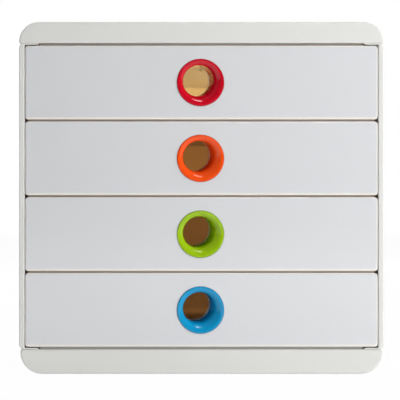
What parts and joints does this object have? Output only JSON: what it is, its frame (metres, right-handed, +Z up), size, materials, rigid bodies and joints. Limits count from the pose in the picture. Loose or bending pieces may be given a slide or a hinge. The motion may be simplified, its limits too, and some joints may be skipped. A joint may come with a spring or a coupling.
{
  "type": "plastic drawer tower",
  "caption": "Desktop plastic drawer tower for A4 papers and craft supplies: white casing, stacked pull-out trays with flat fronts and coloured round finger rings.",
  "frame": {"origin": "middle of the footprint, on the surface that the rubber feet stand on", "axes": "+X to the viewer's right, +Y from the drawer fronts to the back, +Z up; drawers open along -Y"},
  "size_m": [0.29, 0.3506, 0.2812],
  "materials": {
    "casing_plastic": "satin",
    "back_plastic": "satin",
    "front_plastic": "gloss",
    "tray_plastic": "satin",
    "red_ring_plastic": "gloss",
    "orange_ring_plastic": "gloss",
    "green_ring_plastic": "gloss",
    "blue_ring_plastic": "gloss",
    "foot_rubber": "matte"
  },
  "bodies": {
    "casing": {"top_cover": "casing_plastic", "base_cover": "casing_plastic", "left_side_panel": "casing_plastic", "right_side_panel": "casing_plastic", "back_panel": "back_plastic", "foot_front_left": "foot_rubber", "foot_front_right": "foot_rubber", "foot_rear_left": "foot_rubber", "foot_rear_right": "foot_rubber"},
    "red_drawer": {"red_drawer_tray": "tray_plastic", "red_drawer_front": "front_plastic", "red_finger_ring": "red_ring_plastic"},
    "orange_drawer": {"orange_drawer_tray": "tray_plastic", "orange_drawer_front": "front_plastic", "orange_finger_ring": "orange_ring_plastic"},
    "green_drawer": {"green_drawer_tray": "tray_plastic", "green_drawer_front": "front_plastic", "green_finger_ring": "green_ring_plastic"},
    "blue_drawer": {"blue_drawer_tray": "tray_plastic", "blue_drawer_front": "front_plastic", "blue_finger_ring": "blue_ring_plastic"}
  },
  "joints": [
    {"name": "red_drawer_slide", "type": "slide", "parent": "casing", "child": "red_drawer", "axis": [0, -1, 0], "range_m": [0, 0.24]},
    {"name": "orange_drawer_slide", "type": "slide", "parent": "casing", "child": "orange_drawer", "axis": [0, -1, 0], "range_m": [0, 0.24]},
    {"name": "green_drawer_slide", "type": "slide", "parent": "casing", "child": "green_drawer", "axis": [0, -1, 0], "range_m": [0, 0.24]},
    {"name": "blue_drawer_slide", "type": "slide", "parent": "casing", "child": "blue_drawer", "axis": [0, -1, 0], "range_m": [0, 0.24]}
  ]
}
